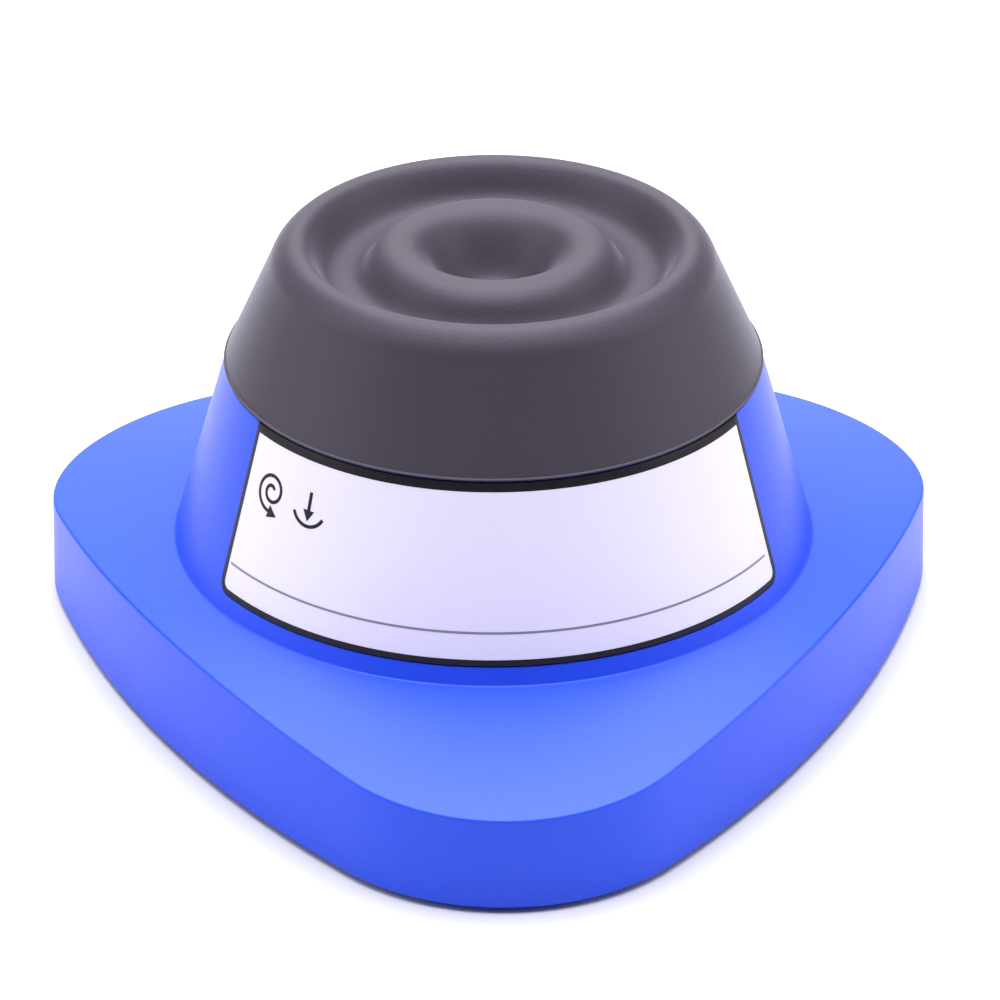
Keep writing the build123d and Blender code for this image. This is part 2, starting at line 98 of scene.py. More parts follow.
def quads(rows: int, columns: int, wrap_rows: bool, wrap_columns: bool) -> np.ndarray:
    """Corner numbers of a grid's quads: cell (i, j) joins points (i, j), (i, j+1), (i+1, j+1) and (i+1, j).

    Args:
        rows: Number of rows of points.
        columns: Number of points in each row.
        wrap_rows: Whether the last row joins the first.
        wrap_columns: Whether the last column joins the first.

    Returns:
        One line of four point numbers for each quad.
    """
    i = np.arange(rows if wrap_rows else rows - 1)[:, None]
    j = np.arange(columns if wrap_columns else columns - 1)[None, :]
    here, up = i * columns, ((i + 1) % rows) * columns
    left, right = j, (j + 1) % columns
    return np.stack([here + left, here + right, up + right, up + left], axis=-1).reshape(-1, 4)


def fan(ring: np.ndarray, tip: int, outward: bool) -> np.ndarray:
    """Triangles that join a closed ring of points to one tip point.

    Args:
        ring: Point numbers round the ring.
        tip: Number of the tip point.
        outward: True if the ring is the grid's last row, False if its first.

    Returns:
        One line of three point numbers for each triangle.
    """
    ahead = np.roll(ring, -1)
    tips = np.full_like(ring, tip)
    return np.stack([ring, ahead, tips] if outward else [ahead, ring, tips], axis=-1)


@dataclass
class Shape:
    """Points in millimetres about the housing's axis, with the faces that join them."""

    points: np.ndarray
    faces: list

    @staticmethod
    def grid(points: np.ndarray, wrap_rows: bool = False, wrap_columns: bool = False,
             close_start: bool = False, close_end: bool = False) -> "Shape":
        """A surface through a grid of points, its end rows closed by a fan to their middle.

        Args:
            points: Grid of rows by columns by three.
            wrap_rows: Whether the last row joins the first.
            wrap_columns: Whether the last column joins the first.
            close_start: Whether the first row is closed by a fan.
            close_end: Whether the last row is closed by a fan.

        Returns:
            The shape, with its faces pointing to the right of row direction times column direction.
        """
        rows, columns = points.shape[:2]
        flat = points.reshape(-1, 3)
        faces = quads(rows, columns, wrap_rows, wrap_columns).tolist()
        if close_start:
            faces += fan(np.arange(columns), len(flat), False).tolist()
            flat = np.vstack([flat, points[0].mean(axis=0)])
        if close_end:
            faces += fan(np.arange(columns) + (rows - 1) * columns, len(flat), True).tolist()
            flat = np.vstack([flat, points[-1].mean(axis=0)])
        return Shape(flat, faces)

    def __add__(self, other: "Shape") -> "Shape":
        """Both shapes as one, side by side."""
        shifted = [[corner + len(self.points) for corner in face] for face in other.faces]
        return Shape(np.vstack([self.points, other.points]), self.faces + shifted)

    def piece(self, name: str, sharp: float = FACING_EDGE) -> bpy.types.Object:
        """Makes the shape a Blender object in the row frame, in metres.

        Args:
            name: The object's name.
            sharp: Edges that turn by more than this angle, in radians, are drawn sharp.

        Returns:
            The object, at the origin, with its place in its mesh.
        """
        mesh = bpy.data.meshes.new(name)
        mesh.from_pydata((self.points * MM + AXIS).tolist(), [], self.faces)
        mesh.validate()
        mesh.shade_smooth()
        mesh.set_sharp_from_angle(angle=sharp)
        thing = bpy.data.objects.new(name, mesh)
        bpy.context.scene.collection.objects.link(thing)
        return thing


def rounded_outline(corners: np.ndarray, radii: Sequence[float], runs: Sequence[np.ndarray],
                    steps: int = 7) -> np.ndarray:
    """A closed outline with an arc at each corner and a straight run to the next one.

    Each arc leaves the run before it at radius times tan(half the turn) from the corner, and turns about
    a centre one radius to the inner side, in equal steps. All outlines of the grid are worked out at once.

    Args:
        corners: Corner points, of any leading shape, then corners by two.
        radii: Arc radius at each corner.
        runs: For each corner, the fractions along the straight run after it where points stand.
        steps: Points on each arc.

    Returns:
        The outline's points in order, of the same leading shape, then points by two.
    """
    before = corners - np.roll(corners, 1, axis=-2)
    after = np.roll(before, -1, axis=-2)
    before = before / np.linalg.norm(before, axis=-1, keepdims=True)
    after = after / np.linalg.norm(after, axis=-1, keepdims=True)
    cross = before[..., 0] * after[..., 1] - before[..., 1] * after[..., 0]
    turn = np.arctan2(cross, (before * after).sum(-1))
    radius = np.asarray(radii)
    reach = (radius * np.tan(np.abs(turn) / 2))[..., None]
    side = np.stack([-before[..., 1], before[..., 0]], axis=-1) * np.sign(turn)[..., None]
    start = corners - before * reach
    centre = start + side * radius[:, None]
    angle = turn[..., None] * np.linspace(0, 1, steps)
    spoke = (start - centre)[..., None, :]
    cos, sin = np.cos(angle), np.sin(angle)
    arc = centre[..., None, :] + np.stack([
        spoke[..., 0] * cos - spoke[..., 1] * sin, spoke[..., 0] * sin + spoke[..., 1] * cos], axis=-1)
    leave = arc[..., -1, :]
    meet = np.roll(arc[..., 0, :], -1, axis=-2)
    parts = []
    for number, run in enumerate(runs):
        share = np.asarray(run)[:, None]
        parts.append(arc[..., number, :, :])
        parts.append(leave[..., number, None, :] * (1 - share) + meet[..., number, None, :] * share)
    return np.concatenate(parts, axis=-2)


def smooth_line(points: np.ndarray, first: np.ndarray, last: np.ndarray, steps: int) -> np.ndarray:
    """A cubic spline through points, with given directions at its two ends.

    Between points it is the cubic whose slopes make the second derivative continuous everywhere; they
    come from one linear system in which each inner slope weighs against its two neighbours.

    Args:
        points: The points, in order.
        first: Direction at the first point.
        last: Direction at the last point.
        steps: Points for each span.

    Returns:
        Points along the spline, ends included.
    """
    span = np.linalg.norm(np.diff(points, axis=0), axis=1)
    count = len(points)
    system = np.eye(count)
    inner = np.arange(1, count - 1)
    system[inner, inner - 1] = 1 / span[:-1]
    system[inner, inner] = 2 / span[:-1] + 2 / span[1:]
    system[inner, inner + 1] = 1 / span[1:]
    rise = np.diff(points, axis=0) / span[:, None] ** 2
    target = np.vstack([first / np.linalg.norm(first), 3 * (rise[:-1] + rise[1:]),
                        last / np.linalg.norm(last)])
    slope = np.linalg.solve(system, target)
    t = np.linspace(0, 1, steps, endpoint=False)[None, :, None]
    a, b = points[:-1, None], points[1:, None]
    da, db = slope[:-1, None] * span[:, None, None], slope[1:, None] * span[:, None, None]
    line = ((2 * t ** 3 - 3 * t ** 2 + 1) * a + (t ** 3 - 2 * t ** 2 + t) * da
            + (3 * t ** 2 - 2 * t ** 3) * b + (t ** 3 - t ** 2) * db)
    return np.vstack([line.reshape(-1, points.shape[1]), points[-1:]])


def turned(profile: np.ndarray, columns: int = 240) -> np.ndarray:
    """Turns a (radius, z) profile about the housing's axis: each profile point goes round a full circle.

    Args:
        profile: The profile's points.
        columns: Points round the circle.

    Returns:
        A grid of profile points by columns.
    """
    angle = np.linspace(0, 2 * np.pi, columns, endpoint=False)
    return polar(profile[:, :1], angle[None, :], profile[:, 1:])


# ---- finishes -------------------------------------------------------------------------------


def linear(colour: str) -> tuple:
    """Turns an sRGB hex colour such as "#2a4be8" into Blender's linear red, green, blue and alpha."""
    channels = np.array([int(colour[i:i + 2], 16) for i in (1, 3, 5)]) / 255
    low, high = channels / 12.92, ((channels + 0.055) / 1.055) ** 2.4
    return (*np.where(channels <= 0.04045, low, high).tolist(), 1.0)


def add_node(tree: bpy.types.NodeTree, kind: str, settings: Optional[dict] = None,
             values: Optional[dict] = None, links: Optional[dict] = None) -> bpy.types.Node:
    """Adds one node to a material.

    Args:
        tree: The material's node tree.
        kind: The node's Blender type.
        settings: Properties of the node.
        values: Fixed values of its inputs.
        links: Outputs of other nodes that feed its inputs.

    Returns:
        The new node.
    """
    node = tree.nodes.new(kind)
    for key, value in (settings or {}).items():
        setattr(node, key, value)
    for key, value in (values or {}).items():
        node.inputs[key].default_value = value
    for key, source in (links or {}).items():
        tree.links.new(source, node.inputs[key])
    return node


class Pattern(Enum):
    """How a finish's surface was made, which sets the shape of its grain."""

    GRAINED = "grained"
    BRUSHED = "brushed"
    TURNED = "turned"


# How much the grain is drawn out along x, y and z: long scratches on brushed and on turned metal.
STRETCH = {Pattern.GRAINED: (1, 1, 1), Pattern.BRUSHED: (1, 0.04, 1), Pattern.TURNED: (0.05, 0.05, 1)}


@dataclass(frozen=True)
class Finish:
    """A surface: its two close colours, its shine, and a grain of a real size.

    Fields give colours as sRGB hex, sizes and depths in millimetres. The colour drifts between base and
    shade over patches of drift size; the grain raises the surface by depth and moves the roughness by
    unevenness. Reflections and sheen take the tint.
    """

    name: str
    base: str
    shade: str
    roughness: float
    drift: float = 9.0
    grain: float = 0.35
    depth: float = 0.01
    unevenness: float = 0.06
    metallic: float = 0.0
    ior: float = 1.5
    specular: float = 0.5
    sheen: float = 0.0
    sheen_roughness: float = 0.4
    tint: str = "#ffffff"
    pattern: Pattern = Pattern.GRAINED

    def material(self) -> bpy.types.Material:
        """Builds the node material, once for each finish.

        Returns:
            The material.
        """
        found = bpy.data.materials.get(self.name)
        if found:
            return found
        made = bpy.data.materials.new(self.name)
        made.use_nodes = True
        made.diffuse_color = linear(self.base)
        tree = made.node_tree
        tree.nodes.clear()
        place = add_node(tree, "ShaderNodeTexCoord").outputs["Object"]
        drift = add_node(tree, "ShaderNodeTexNoise", values={
            "Scale": 1 / (self.drift * MM), "Detail": 3.0, "Roughness": 0.55}, links={"Vector": place})
        colour = add_node(tree, "ShaderNodeMix", {"data_type": "RGBA"}, {
            6: linear(self.base), 7: linear(self.shade)}, {"Factor": drift.outputs["Fac"]})
        drawn = add_node(tree, "ShaderNodeMapping", values={"Scale": STRETCH[self.pattern]},
                         links={"Vector": place})
        grain = add_node(tree, "ShaderNodeTexNoise", values={
            "Scale": 1 / (self.grain * MM), "Detail": 2.0, "Roughness": 0.6},
            links={"Vector": drawn.outputs["Vector"]})
        shine = add_node(tree, "ShaderNodeMapRange", values={
            "To Min": self.roughness - self.unevenness, "To Max": self.roughness + self.unevenness},
            links={"Value": grain.outputs["Fac"]})
        raised = add_node(tree, "ShaderNodeBump", values={"Strength": 1.0, "Distance": self.depth * MM},
                          links={"Height": grain.outputs["Fac"]})
        surface = add_node(tree, "ShaderNodeBsdfPrincipled", values={
            "Metallic": self.metallic, "IOR": self.ior, "Specular IOR Level": self.specular,
            "Sheen Weight": self.sheen, "Sheen Roughness": self.sheen_roughness,
            "Sheen Tint": linear(self.tint), "Specular Tint": linear(self.tint)},
            links={"Base Color": colour.outputs[2], "Roughness": shine.outputs["Result"],
                   "Normal": raised.outputs["Normal"]})
        add_node(tree, "ShaderNodeOutputMaterial", links={"Surface": surface.outputs["BSDF"]})
        return made

    def dress(self, thing: bpy.types.Object) -> bpy.types.Object:
        """Gives an object this finish alone, and returns the object."""
        thing.data.materials.clear()
        thing.data.materials.append(self.material())
        return thing


# Injection-moulded ABS from a fine spark-eroded mould: saturated blue with a soft satin shine. The
# mould's grain of about 0.1 mm is too fine to show, so it is drawn at 0.45 mm.
BLUE_ABS = Finish("moulded_blue_abs", "#214ce7", "#224ee8", 0.36, drift=25.0, grain=0.45, depth=0.004,
                  unevenness=0.03, ior=1.5, specular=0.3)
# ABS from the same kind of mould, black and duller.
BLACK_ABS = Finish("moulded_black_abs", "#1b1b1e", "#202024", 0.5, depth=0.01)
# Moulded silicone rubber, charcoal, from a blasted mould: no clear reflection, and a pale bloom at
# grazing angles. Its real grain of about 0.1 mm is too fine to show, so it is drawn at 0.4 mm.
CHARCOAL_RUBBER = Finish("moulded_charcoal_rubber", "#3c3742", "#403b46", 0.5, drift=14.0, grain=0.4,
                         depth=0.035, unevenness=0.05, ior=1.45, specular=0.5, sheen=0.35,
                         sheen_roughness=0.3, tint="#e2d8f2")
# Nitrile rubber of the feet, greyer and with a little gloss where it was moulded smooth.
GREY_RUBBER = Finish("moulded_grey_rubber", "#3a3a3d", "#424246", 0.6, grain=0.3, depth=0.012)
# Satin polyester label stock: cold white, with the faint waviness of a film laid on a curved wall.
LABEL_FILM = Finish("satin_label_film", "#e8e1f9", "#e9e3fa", 0.3, drift=18.0, grain=3.0, depth=0.003,
                    unevenness=0.03, ior=1.55)
# Screen-printed inks on the label: a warm black, and the grey of the rules.
BLACK_INK = Finish("screen_printed_black_ink", "#19151b", "#1d181f", 0.42, grain=0.2, depth=0.002,
                   specular=0.25)
GREY_INK = Finish("screen_printed_grey_ink", "#7d7a8c", "#828091", 0.4, grain=0.2, depth=0.002)
# Glass-filled nylon of the inner frame: mottled grey, dry.
GREY_NYLON = Finish("glass_filled_grey_nylon", "#85888c", "#767a7f", 0.55, drift=3.0, grain=0.5, depth=0.01)
WHITE_NYLON = Finish("moulded_white_nylon", "#eeece4", "#e6e3d8", 0.45, drift=6.0, grain=0.6, depth=0.004)
# Phenolic and epoxy bodies of the components, and the acetal of the socket.
BLACK_EPOXY = Finish("moulded_black_epoxy", "#19191b", "#1f1f21", 0.55, grain=0.15, depth=0.008)
BLACK_ACETAL = Finish("moulded_black_acetal", "#151517", "#1a1a1c", 0.38, grain=0.25, depth=0.004)
RED_ACETAL = Finish("moulded_red_acetal", "#b0241e", "#a52420", 0.35, grain=0.3, depth=0.003)
# Glass-epoxy laminate under green solder mask: the weave of 0.6 mm just lifts the surface.
GREEN_LAMINATE = Finish("green_glass_epoxy_laminate", "#1c5a2e", "#216836", 0.3, drift=2.0, grain=0.6,
                        depth=0.01)
# Steels: bright zinc plate is blotchy, ground bar has fine rings, spring wire is drawn and oiled.
ZINC_PLATE = Finish("bright_zinc_plated_steel", "#c3c6c9", "#adb2ba", 0.32, drift=2.5, grain=0.6,
                    depth=0.003, metallic=1.0)
GROUND_STEEL = Finish("ground_steel_bar", "#c9c9ca", "#bdbdc0", 0.22, grain=0.12, depth=0.002,
                      metallic=1.0, pattern=Pattern.TURNED)
SPRING_WIRE = Finish("drawn_spring_wire", "#8c8d90", "#7b7d82", 0.3, grain=0.15, depth=0.002, metallic=1.0)
MOTOR_CAN = Finish("deep_drawn_motor_can", "#b9bcbf", "#a9adb2", 0.34, grain=0.4, depth=0.004,
                   metallic=1.0, pattern=Pattern.BRUSHED)
BLACK_OXIDE = Finish("black_oxide_steel", "#2d2d30", "#37373a", 0.42, grain=0.3, depth=0.003, metallic=0.9)
FERRITE = Finish("sintered_ferrite", "#37363a", "#2f2e31", 0.62, grain=0.15, depth=0.006)
# Oil-soaked sintered bronze, nickel over brass, and milled aluminium plate.
BRONZE = Finish("sintered_bronze", "#a8793f", "#94683a", 0.45, drift=1.5, grain=0.12, depth=0.006,
                metallic=1.0)
NICKEL = Finish("nickel_plated_brass", "#cfc9b8", "#c4bda9", 0.22, drift=3.0, grain=0.3, depth=0.001,
                metallic=1.0)
ALUMINIUM = Finish("milled_aluminium_plate", "#c8cacc", "#bcbfc3", 0.35, grain=0.3, depth=0.004,
                   metallic=1.0, pattern=Pattern.BRUSHED)

FINISHES = {
    "blue_abs": BLUE_ABS, "black_abs": BLACK_ABS, "label_print": LABEL_FILM,
    "charcoal_rubber": CHARCOAL_RUBBER, "grey_rubber": GREY_RUBBER, "grey_nylon": GREY_NYLON,
    "white_nylon": WHITE_NYLON, "component_black": BLACK_EPOXY, "inlet_black": BLACK_ACETAL,
    "switch_red": RED_ACETAL, "circuit_board": GREEN_LAMINATE, "zinc_steel": ZINC_PLATE,
    "ground_steel": GROUND_STEEL, "spring_steel": SPRING_WIRE, "motor_steel": MOTOR_CAN,
    "black_oxide": BLACK_OXIDE, "ferrite": FERRITE, "bronze": BRONZE, "nickel_brass": NICKEL,
    "plate_aluminium": ALUMINIUM,
}


def set_out(thing: bpy.types.Object, slot: str, body: str, *nodes: str,
            finish: Optional[Finish] = None) -> bpy.types.Object:
    """Dresses a finished piece, lets it ride on a body and hides the CAD nodes it stands for.

    Args:
        thing: The piece.
        slot: The record's material slot it takes its finish from.
        body: The CAD body it moves with.
        *nodes: The CAD nodes it stands for.
        finish: Its finish, if it isn't the slot's own.

    Returns:
        The piece.
    """
    (finish or FINISHES[slot]).dress(thing)
    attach(thing, body)
    if nodes:
        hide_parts(*nodes)
    log.info("%s: %d faces, on %s", thing.name, len(thing.data.polygons), body)
    return thing


# ---- housing --------------------------------------------------------------------------------


@dataclass(frozen=True)
class BodyCone:
    """The straight cone of the housing between the base and the deck, in millimetres."""

    foot_radius: float = 50.0
    foot_z: float = 21.8
    rim_radius: float = 41.33
    rim_z: float = 51.1

    def lean(self) -> float:
        """The wall's angle from the vertical, in radians."""
        return math.atan2(self.foot_radius - self.rim_radius, self.rim_z - self.foot_z)

    def radius(self, z: np.ndarray) -> np.ndarray:
        """The wall's radius at a height."""
        return self.foot_radius - (z - self.foot_z) * math.tan(self.lean())

    def point(self, azimuth: np.ndarray, z: np.ndarray, proud: np.ndarray) -> np.ndarray:
        """A point on the wall, or beside it along the wall's own normal.

        Args:
            azimuth: Angle in degrees from the nose, positive toward +X.
            z: Height in millimetres.
            proud: Distance out from the wall.

        Returns:
            The points, in millimetres about the axis.
        """
        azimuth, z, proud = np.broadcast_arrays(azimuth, z, proud)
        radius = self.radius(z) + proud * math.cos(self.lean())
        return polar(radius, np.radians(azimuth - 90), z + proud * math.sin(self.lean()))

    def patch(self, flat: np.ndarray, middle: tuple, proud: np.ndarray) -> np.ndarray:
        """Wraps a flat drawing onto the wall: across becomes arc length, and up becomes slope length.

        Args:
            flat: Points of the drawing, across and up, in millimetres.
            middle: Azimuth in degrees and height in millimetres of the drawing's origin.
            proud: Distance out from the wall.

        Returns:
            The points, in millimetres about the axis.
        """
        z = middle[1] + flat[..., 1] * math.cos(self.lean())
        azimuth = middle[0] + np.degrees(flat[..., 0] / self.radius(middle[1]))
        return self.point(azimuth, z, proud)


@dataclass(frozen=True)
class LabelOutline:
    """The label's edge on the body cone: straight sides and top, and rounded lower corners."""

    half_angle: float = 59.5
    low: float = 24.7
    high: float = 51.05
    corner: float = 2.2

    def outside(self, azimuth: np.ndarray, z: np.ndarray, cone: BodyCone) -> np.ndarray:
        """Signed distance in millimetres from the edge, positive outside.

        Beyond both straight edges by less than the corner's radius, it is the distance from the corner
        arc; elsewhere it is the greater of the distances from the side and the bottom. The top is open.

        Args:
            azimuth: Angle in degrees from the nose.
            z: Height in millimetres.
            cone: The wall that the label lies on.

        Returns:
            The distances.
        """
        side = np.radians(np.abs(azimuth) - self.half_angle) * cone.radius(z)
        below = self.low - z
        arc = np.hypot(np.maximum(side + self.corner, 0), np.maximum(below + self.corner, 0)) - self.corner
        straight = np.maximum(side, below)
        return np.where((side > -self.corner) & (below > -self.corner), arc, straight)

    def edge(self, inset: Sequence[float], steps: int, cone: BodyCone) -> np.ndarray:
        """Points round the edge, drawn in by a distance at the sides, bottom and top.

        Args:
            inset: Distances in at the sides, the bottom and the top.
            steps: Points for each of the six stretches: top, side, corner, bottom, corner, side.
            cone: The wall that the label lies on.

        Returns:
            Azimuth and height for each point, going round clockwise as seen from the front.
        """
        side_in, low_in, high_in = inset
        half = self.half_angle - math.degrees(side_in / cone.radius(self.low))
        low, high = self.low + low_in, self.high - high_in
        radius = max(self.corner - (side_in + low_in) / 2, 0.4)
        wide = math.degrees(radius / cone.radius(low))
        t = np.linspace(0, 1, steps, endpoint=False)
        quarter = t * np.pi / 2
        top = np.stack([-half + 2 * half * t, np.full(steps, high)], axis=1)
        right = np.stack([np.full(steps, half), high + (low + radius - high) * t], axis=1)
        near, far = radius * (1 - np.sin(quarter)), radius * (1 - np.cos(quarter))
        turn = np.stack([half - wide * (1 - np.cos(quarter)), low + near], axis=1)
        bottom = np.stack([(half - wide) * (1 - 2 * t), np.full(steps, low)], axis=1)
        back = np.stack([-half + wide * (1 - np.sin(quarter)), low + far], axis=1)
        left = np.stack([np.full(steps, -half), low + radius + (high - low - radius) * t], axis=1)
        return np.vstack([top, right, turn, bottom, back, left])


@dataclass
class Housing:
    """The blue moulding: drafted base wall, sloping top, cone, deck, and the recess for the label.

    Lengths are in millimetres. A boss has a radius, the heights of its ends, and its axis's distance from
    the housing's.
    """

    cone: BodyCone
    label: LabelOutline
    corner_radius: float = 32.18
    corner_offset: float = 44.3
    side_radius: float = 191.0
    wall_draft: float = 2.0
    foot_z: float = 1.0
    top_slope: float = 0.2335
    wall: float = 2.4
    deck_thickness: float = 2.5
    deck_opening: float = 33.0
    recess: float = 0.35
    recess_gap: float = 0.2
    recess_edge: float = 0.14
    screw_bore: float = 1.52
    cover_boss: tuple = (4.2, 3.9, 19.6, 47.0)
    frame_boss: tuple = (3.6, 20.0, 36.0, 43.0)
    boss_inset: float = 0.8
    inlet_cut: tuple = (50.0, 75.0)
    inlet_z: float = 10.0
    inlet_hole: float = 4.1

    def outline(self, angle: np.ndarray, grow: np.ndarray) -> np.ndarray:
        """Distance from the axis to the rounded triangle's edge, grown by a distance.

        Three corner circles are joined by three wider arcs that touch them. Within the angle at which
        they touch, the ray from the axis ends on the corner circle; outside it, on the wider arc.

        Args:
            angle: Angle in radians from +X; the corners point to -90, 30 and 150 degrees.
            grow: Distance that the edge is moved out.

        Returns:
            The distances.
        """
        reach = self.side_radius - self.corner_radius
        half_chord = self.corner_offset * math.sin(math.pi / 3)
        back = math.sqrt(reach ** 2 - half_chord ** 2) - self.corner_offset / 2
        third = 2 * math.pi / 3
        off = (angle - math.radians(30) + third / 2) % third - third / 2
        corner, side = self.corner_radius + grow, self.side_radius + grow
        on_corner = self.corner_offset * np.cos(off) + np.sqrt(
            corner ** 2 - (self.corner_offset * np.sin(off)) ** 2)
        turned_off = third / 2 - np.abs(off)
        on_side = np.sqrt(side ** 2 - (back * np.sin(turned_off)) ** 2) - back * np.cos(turned_off)
        across = corner * back * math.sin(third / 2) / reach
        along = self.corner_offset + corner * (self.corner_offset + back / 2) / reach
        return np.where(np.abs(off) < np.arctan2(across, along), on_corner, on_side)

    def columns(self) -> np.ndarray:
        """Angles of the grid's columns: even all round, and close together where the recess ends.

        Returns:
            The angles from +X, in radians, in order.
        """
        even = np.linspace(-180, 180, 380, endpoint=False)
        edge = self.label.half_angle + 0.25
        near = np.concatenate([np.arange(-3.4, -0.5, 0.12), np.arange(-0.5, 0.6, 0.06)]) + edge
        every = np.concatenate([even, near, -near])
        kept = np.unique(np.round(every, 4))
        kept = kept[np.append(True, np.diff(kept) > 0.03)]
        return np.radians(kept - 90)

    def wall_rows(self) -> np.ndarray:
        """Heights of the cone's rows: close together at the recess's lower edge, and wide apart above.

        Returns:
            The heights as fractions of the cone's straight run.
        """
        low, top = self.label.low, self.cone.rim_z
        heights = np.concatenate([
            np.linspace(self.cone.foot_z + 1.4, low - 0.6, 4), np.arange(low - 0.5, low + 0.2, 0.05),
            np.arange(low + 0.2, low + 2.9, 0.1), np.linspace(low + 3.1, top - 0.6, 12),
            [top - 0.3, top - 0.16]])
        start, end = self.cone.foot_z + 1.0, top - 0.07
        return (heights - start) / (end - start)

    def shell(self) -> Shape:
        """The whole wall as one closed surface: a ten-cornered section for each angle, joined all round.

        Outside, it goes up the drafted wall, in along the sloping top, up the cone and in over the deck;
        inside, it comes back one wall thickness away. The cone's points inside the label's edge are then
        pushed in along the wall's normal, over a short smooth step.

        Returns:
            The shape.
        """
        angle = self.columns()
        drift = math.tan(math.radians(self.wall_draft))
        cone = self.cone
        edge_z = np.full_like(angle, cone.foot_z - 5)
        for _ in range(4):
            edge = self.outline(angle, (cone.foot_z - edge_z) * drift)
            edge_z = cone.foot_z - self.top_slope * (edge - cone.foot_radius)
        low = self.outline(angle, np.full_like(angle, (cone.foot_z - self.foot_z) * drift))
        sunk = self.wall * 1.03
        in_low, in_edge = low - self.wall, edge - self.wall
        in_edge_z = cone.foot_z - self.top_slope * (in_edge - cone.foot_radius) - sunk
        flat = np.ones_like(angle)
        deck_low = cone.rim_z - self.deck_thickness
        corners = np.stack([
            np.stack([low, self.foot_z * flat], -1),
            np.stack([edge, edge_z], -1),
            np.stack([cone.foot_radius * flat, cone.foot_z * flat], -1),
            np.stack([cone.rim_radius * flat, cone.rim_z * flat], -1),
            np.stack([self.deck_opening * flat, cone.rim_z * flat], -1),
            np.stack([self.deck_opening * flat, deck_low * flat], -1),
            np.stack([(cone.rim_radius - self.wall) * flat, deck_low * flat], -1),
            np.stack([(cone.foot_radius - self.wall) * flat, (cone.foot_z - sunk) * flat], -1),
            np.stack([in_edge, in_edge_z], -1),
            np.stack([in_low, self.foot_z * flat], -1),
        ], axis=1)
        radii = [0.35, 0.45, 0.45, 0.09, 0.25, 0.25, 0.8, 0.8, 1.0, 0.3]
        run = np.array([0.015, 0.06, 0.2, 0.4, 0.6, 0.8, 0.94, 0.985])
        thin = np.array([0.1, 0.5, 0.9])
        runs = [run, run, self.wall_rows(), thin, thin, thin, run, run, run, thin]
        steps = 8
        section = rounded_outline(corners, radii, runs, steps)
        radius, z = section[..., 0].T, section[..., 1].T
        grid = polar(radius, angle[None, :], z)
        azimuth = (np.degrees(angle) + 90 + 180) % 360 - 180
        row = np.arange(len(z))
        first = 3 * steps + len(run) * 2
        outer = (row >= first) & (row < first + len(runs[2]) + steps)
        gone = self.label.outside(azimuth[None, :], z, cone) - self.recess_gap
        share = np.clip(-gone / self.recess_edge, 0, 1)
        depth = self.recess * share ** 2 * (3 - 2 * share) * outer[:, None]
        lean = cone.lean()
        normal = polar(np.cos(lean), angle, np.sin(lean))
        return Shape.grid(grid - depth[..., None] * normal[None], wrap_rows=True, wrap_columns=True)

    def boss(self, radius: float, low: float, high: float, circle: float, degrees: float) -> Shape:
        """One screw boss: a bored post turned about its own axis, kept inside the cone's wall.

        Args:
            radius: The post's radius.
            low: Height of the open end.
            high: Height at which it ends inside the wall above.
            circle: Distance of its axis from the housing's.
            degrees: Its angle about the housing.

        Returns:
            The shape.
        """
        deep, bore = low + 9.0, self.screw_bore
        corners = np.array([[radius, low], [radius, high], [bore / 3, high], [bore / 3, deep + 0.2],
                            [bore, deep], [bore, low]])
        section = rounded_outline(corners, [0.25, 0.3, 0.1, 0.1, 0.2, 0.25],
                                  [np.array([0.1, 0.3, 0.5, 0.7, 0.9])] * 6, 4)
        spin = np.linspace(0, 2 * np.pi, 32, endpoint=False)
        grid = polar(section[:, :1], spin[None, :], section[:, 1:])
        grid = grid + polar(np.array(circle), np.radians(degrees), np.array(0.0))
        away = np.hypot(grid[..., 0], grid[..., 1])
        most = self.cone.radius(grid[..., 2]) - self.boss_inset
        keep = np.where(grid[..., 2] > self.cone.foot_z - 2, np.minimum(1, most / away), 1)
        grid[..., :2] *= keep[..., None]
        return Shape.grid(grid, wrap_rows=True, wrap_columns=True)

    def bosses(self) -> Shape:
        """The three cover bosses in the corners and the three frame bosses between them.

        Returns:
            All six as one shape.
        """
        made = [self.boss(*self.cover_boss, turn) for turn in (-90, 30, 150)]
        made += [self.boss(*self.frame_boss, turn) for turn in (90, 210, 330)]
        return sum(made[1:], made[0])

    def cut_inlet(self, shell: bpy.types.Object) -> None:
        """Cuts the round hole for the power inlet through the rear wall.

        Args:
            shell: The moulding, whose mesh is replaced by the cut one.
        """
        spin = np.linspace(0, 2 * np.pi, 64, endpoint=False)
        y = np.array(self.inlet_cut)[:, None]
        x, z = self.inlet_hole * np.cos(spin), self.inlet_z + self.inlet_hole * np.sin(spin)
        grid = np.stack(np.broadcast_arrays(x[None], y, z[None]), axis=-1)
        cutter = Shape.grid(grid, wrap_columns=True, close_start=True, close_end=True).piece("inlet_cutter")
        cut = shell.modifiers.new("inlet hole", "BOOLEAN")
        cut.object, cut.operation, cut.solver = cutter, "DIFFERENCE", "EXACT"
        graph = bpy.context.evaluated_depsgraph_get()
        mesh = bpy.data.meshes.new_from_object(shell.evaluated_get(graph))
        shell.modifiers.clear()
        shell.data = mesh
        mesh.set_sharp_from_angle(angle=FACING_EDGE)
        bpy.data.objects.remove(cutter)

    def build(self) -> None:
        """Makes the moulding and its bosses."""
        shell = self.shell().piece("housing_moulding")
        self.cut_inlet(shell)
        set_out(shell, "blue_abs", "housing", "housing_shell")
        set_out(self.bosses().piece("housing_bosses"), "blue_abs", "housing")


# ---- label ----------------------------------------------------------------------------------


